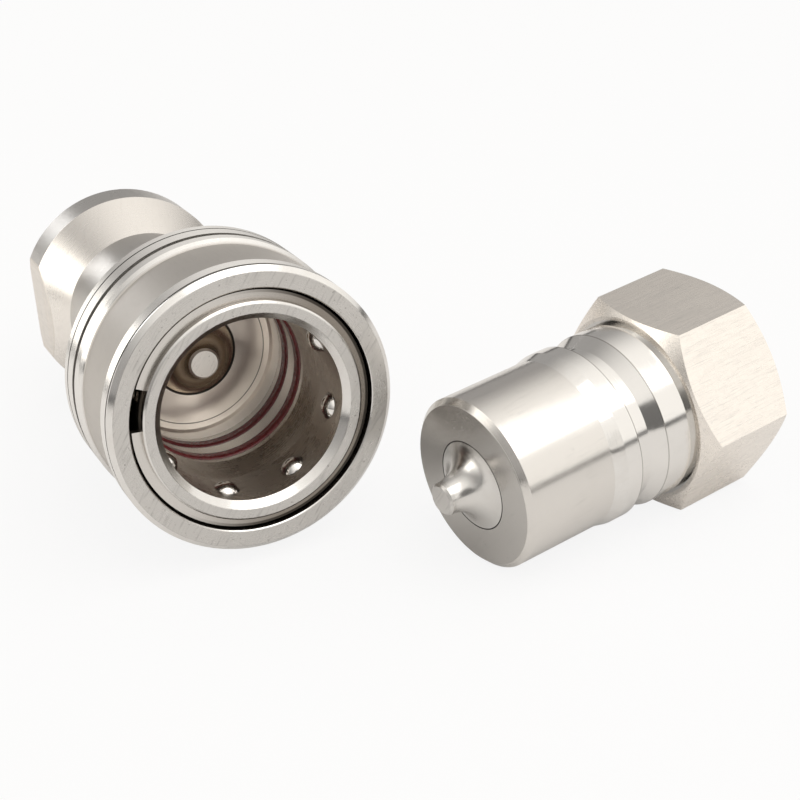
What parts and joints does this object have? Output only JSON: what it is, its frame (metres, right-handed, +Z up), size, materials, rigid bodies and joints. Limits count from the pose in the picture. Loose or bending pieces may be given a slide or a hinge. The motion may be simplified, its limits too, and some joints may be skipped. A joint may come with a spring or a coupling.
{
  "type": "hydraulic quick coupler",
  "caption": "Ball-lock quick coupler for hydraulic hose: a socket with a spring-loaded pull sleeve, and its separate plug, each with a poppet valve and a threaded port.",
  "frame": {"origin": "middle of the set's footprint on the floor", "axes": "+Z up; +Y towards the socket's threaded end, its mouth faces -Y; the plug lies on the +X side with its nose towards the socket"},
  "size_m": [0.0868, 0.0884, 0.0403],
  "materials": {
    "body_steel": "turned satin",
    "sleeve_steel": "turned satin, matte recess",
    "plug_steel": "polished nose, brushed hexagon",
    "valve_steel": "turned",
    "ball_steel": "polished",
    "spring_steel": "drawn wire",
    "seal_rubber": "dark red, oiled",
    "valve_rubber": "black"
  },
  "bodies": {
    "coupler_bodies": {"socket_body": "body_steel", "rear_adapter": "body_steel", "sleeve_spring": "spring_steel", "sleeve_snap_ring": "body_steel", "body_joint_seal": "seal_rubber", "socket_poppet_spring": "spring_steel", "socket_valve_guide": "valve_steel", "bore_seal_front": "seal_rubber", "bore_seal_rear": "seal_rubber", "plug_body": "plug_steel", "plug_poppet_spring": "spring_steel", "plug_valve_guide": "valve_steel", "plug_guide_clip": "valve_steel"},
    "sleeve": {"locking_sleeve": "sleeve_steel"},
    "socket_valve": {"socket_poppet": "valve_steel", "socket_poppet_seal": "valve_rubber"},
    "plug_valve": {"plug_poppet": "valve_steel", "plug_poppet_seal": "valve_rubber"},
    "ball_1": {"locking_ball_1": "ball_steel"},
    "ball_2": {"locking_ball_2": "ball_steel"},
    "ball_3": {"locking_ball_3": "ball_steel"},
    "ball_4": {"locking_ball_4": "ball_steel"},
    "ball_5": {"locking_ball_5": "ball_steel"},
    "ball_6": {"locking_ball_6": "ball_steel"},
    "ball_7": {"locking_ball_7": "ball_steel"},
    "ball_8": {"locking_ball_8": "ball_steel"}
  },
  "joints": [
    {"name": "sleeve_slide", "type": "slide", "parent": "coupler_bodies", "child": "sleeve", "axis": [0, 0.9949, -0.1008], "range_m": [0, 0.0042], "stiffness_N_per_m": 1800, "springref_m": -0.005, "deforming": ["sleeve_spring"]},
    {"name": "socket_valve_slide", "type": "slide", "parent": "coupler_bodies", "child": "socket_valve", "axis": [0, 0.9949, -0.1008], "range_m": [0, 0.005], "stiffness_N_per_m": 1200, "springref_m": -0.004, "deforming": ["socket_poppet_spring"]},
    {"name": "plug_valve_slide", "type": "slide", "parent": "coupler_bodies", "child": "plug_valve", "axis": [0.9772, 0.2024, 0.0646], "range_m": [0, 0.005], "stiffness_N_per_m": 1200, "springref_m": -0.004, "deforming": ["plug_poppet_spring"]},
    {"name": "ball_1_lift", "type": "slide", "parent": "coupler_bodies", "child": "ball_1", "axis": [0.9563, -0.0295, -0.2909], "range_m": [0, 0.001]},
    {"name": "ball_2_lift", "type": "slide", "parent": "coupler_bodies", "child": "ball_2", "axis": [0.4695, -0.089, -0.8785], "range_m": [0, 0.001]},
    {"name": "ball_3_lift", "type": "slide", "parent": "coupler_bodies", "child": "ball_3", "axis": [-0.2924, -0.0963, -0.9514], "range_m": [0, 0.001]},
    {"name": "ball_4_lift", "type": "slide", "parent": "coupler_bodies", "child": "ball_4", "axis": [-0.8829, -0.0473, -0.4671], "range_m": [0, 0.001]},
    {"name": "ball_5_lift", "type": "slide", "parent": "coupler_bodies", "child": "ball_5", "axis": [-0.9563, 0.0295, 0.2909], "range_m": [0, 0.001]},
    {"name": "ball_6_lift", "type": "slide", "parent": "coupler_bodies", "child": "ball_6", "axis": [-0.4695, 0.089, 0.8785], "range_m": [0, 0.001]},
    {"name": "ball_7_lift", "type": "slide", "parent": "coupler_bodies", "child": "ball_7", "axis": [0.2924, 0.0963, 0.9514], "range_m": [0, 0.001]},
    {"name": "ball_8_lift", "type": "slide", "parent": "coupler_bodies", "child": "ball_8", "axis": [0.8829, 0.0473, 0.4671], "range_m": [0, 0.001]}
  ],
  "couplings": [
    {"joint": "ball_1_lift", "follows": "sleeve_slide", "ratio": 0.2381},
    {"joint": "ball_2_lift", "follows": "sleeve_slide", "ratio": 0.2381},
    {"joint": "ball_3_lift", "follows": "sleeve_slide", "ratio": 0.2381},
    {"joint": "ball_4_lift", "follows": "sleeve_slide", "ratio": 0.2381},
    {"joint": "ball_5_lift", "follows": "sleeve_slide", "ratio": 0.2381},
    {"joint": "ball_6_lift", "follows": "sleeve_slide", "ratio": 0.2381},
    {"joint": "ball_7_lift", "follows": "sleeve_slide", "ratio": 0.2381},
    {"joint": "ball_8_lift", "follows": "sleeve_slide", "ratio": 0.2381}
  ]
}
